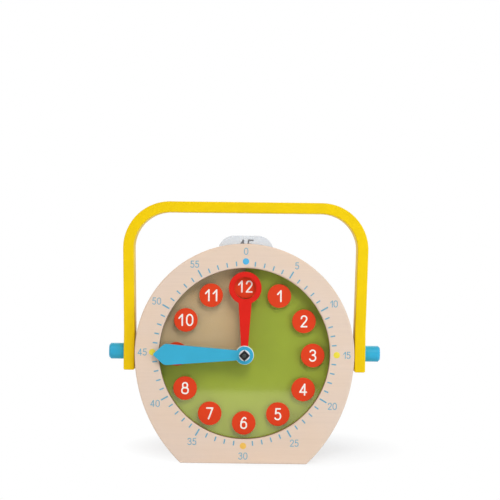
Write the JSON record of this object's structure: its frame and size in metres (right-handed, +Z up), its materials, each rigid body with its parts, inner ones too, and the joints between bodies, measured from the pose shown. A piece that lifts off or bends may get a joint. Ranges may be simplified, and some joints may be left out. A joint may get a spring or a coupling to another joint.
{
  "type": "teaching clock",
  "caption": "Wooden teaching clock: minute ring on a flat base, hand-set hour and minute hands over hour discs, push-in card, swinging strap handle.",
  "frame": {"origin": "centre of the flat resting face", "axes": "+Z up; the dial faces -Y, so +Y points out of the back; +X is the viewer's right, through the three o'clock side"},
  "size_m": [0.219, 0.0363, 0.2095],
  "materials": {
    "ring_wood": "pale veneer, thin matt varnish",
    "guide_wood": "bare fibreboard edge",
    "board_wood": "pale wood, thin matt varnish",
    "clear_plate": "clear, polished",
    "card_film": "clear film, satin",
    "green_tint": "translucent green print",
    "disc_red": "satin",
    "red_paint": "painted, satin",
    "blue_paint": "painted, satin",
    "peg_paint": "painted, satin",
    "yellow_paint": "painted, satin",
    "white_plastic": "matt",
    "black_nut": "blackened",
    "axle_steel": "zinc plated",
    "screw_steel": "zinc plated",
    "fibre": "hard fibre"
  },
  "bodies": {
    "body": {"front_ring": "ring_wood", "dial_plate": "clear_plate", "card_guide": "guide_wood", "back_board": "board_wood", "case_screws": "screw_steel", "axle_screw": "axle_steel", "rear_spacer": "white_plastic", "middle_spacer": "white_plastic", "front_washer": "white_plastic", "retaining_nut": "black_nut", "left_peg": "peg_paint", "right_peg": "peg_paint", "left_washer": "fibre", "right_washer": "fibre", "hour_disc_01": "disc_red", "hour_disc_02": "disc_red", "hour_disc_03": "disc_red", "hour_disc_04": "disc_red", "hour_disc_05": "disc_red", "hour_disc_06": "disc_red", "hour_disc_07": "disc_red", "hour_disc_08": "disc_red", "hour_disc_09": "disc_red", "hour_disc_10": "disc_red", "hour_disc_11": "disc_red", "hour_disc_12": "disc_red"},
    "handle": {"handle": "yellow_paint"},
    "hour_hand": {"hour_hand": "red_paint"},
    "minute_hand": {"minute_hand": "blue_paint"},
    "card": {"card_sheet": "card_film", "card_tint": "green_tint"}
  },
  "joints": [
    {"name": "handle_swing", "type": "hinge", "parent": "body", "child": "handle", "pos_m": [0, 0.0035, 0.088], "axis": [1, 0, 0], "range_deg": [-135, 135]},
    {"name": "hour_turn", "type": "hinge", "parent": "body", "child": "hour_hand", "pos_m": [0, -0.0113, 0.0868], "axis": [0, 1, 0], "continuous": true},
    {"name": "minute_turn", "type": "hinge", "parent": "body", "child": "minute_hand", "pos_m": [0, -0.0166, 0.0868], "axis": [0, 1, 0], "continuous": true},
    {"name": "card_lift", "type": "slide", "parent": "body", "child": "card", "axis": [0, 0, 1], "range_m": [0, 0.016]}
  ]
}
